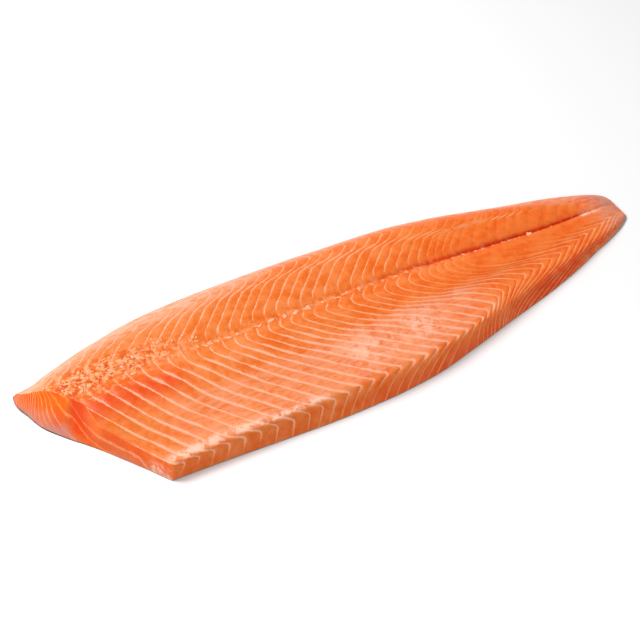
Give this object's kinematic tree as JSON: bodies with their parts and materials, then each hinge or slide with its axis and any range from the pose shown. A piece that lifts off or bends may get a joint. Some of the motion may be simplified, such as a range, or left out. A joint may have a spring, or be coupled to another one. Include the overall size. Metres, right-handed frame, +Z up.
{
  "type": "raw salmon fillet",
  "caption": "Raw side of salmon lying on its skin, thick at the back of the fish, thin along the belly and at the tail, with white lines between the muscle segments.",
  "frame": {"origin": "middle of the footprint, on the surface that the fillet lies on", "axes": "+X from the head end to the tail, +Y towards the back of the fish, +Z up out of the cut face"},
  "size_m": [0.6047, 0.1868, 0.0343],
  "materials": {
    "raw_flesh": "moist orange muscle with thin white lines, slightly translucent",
    "fish_skin": "wet silver-grey fish skin with small scales"
  },
  "bodies": {
    "root": {"flesh": "raw_flesh", "skin": "fish_skin"}
  },
  "joints": []
}
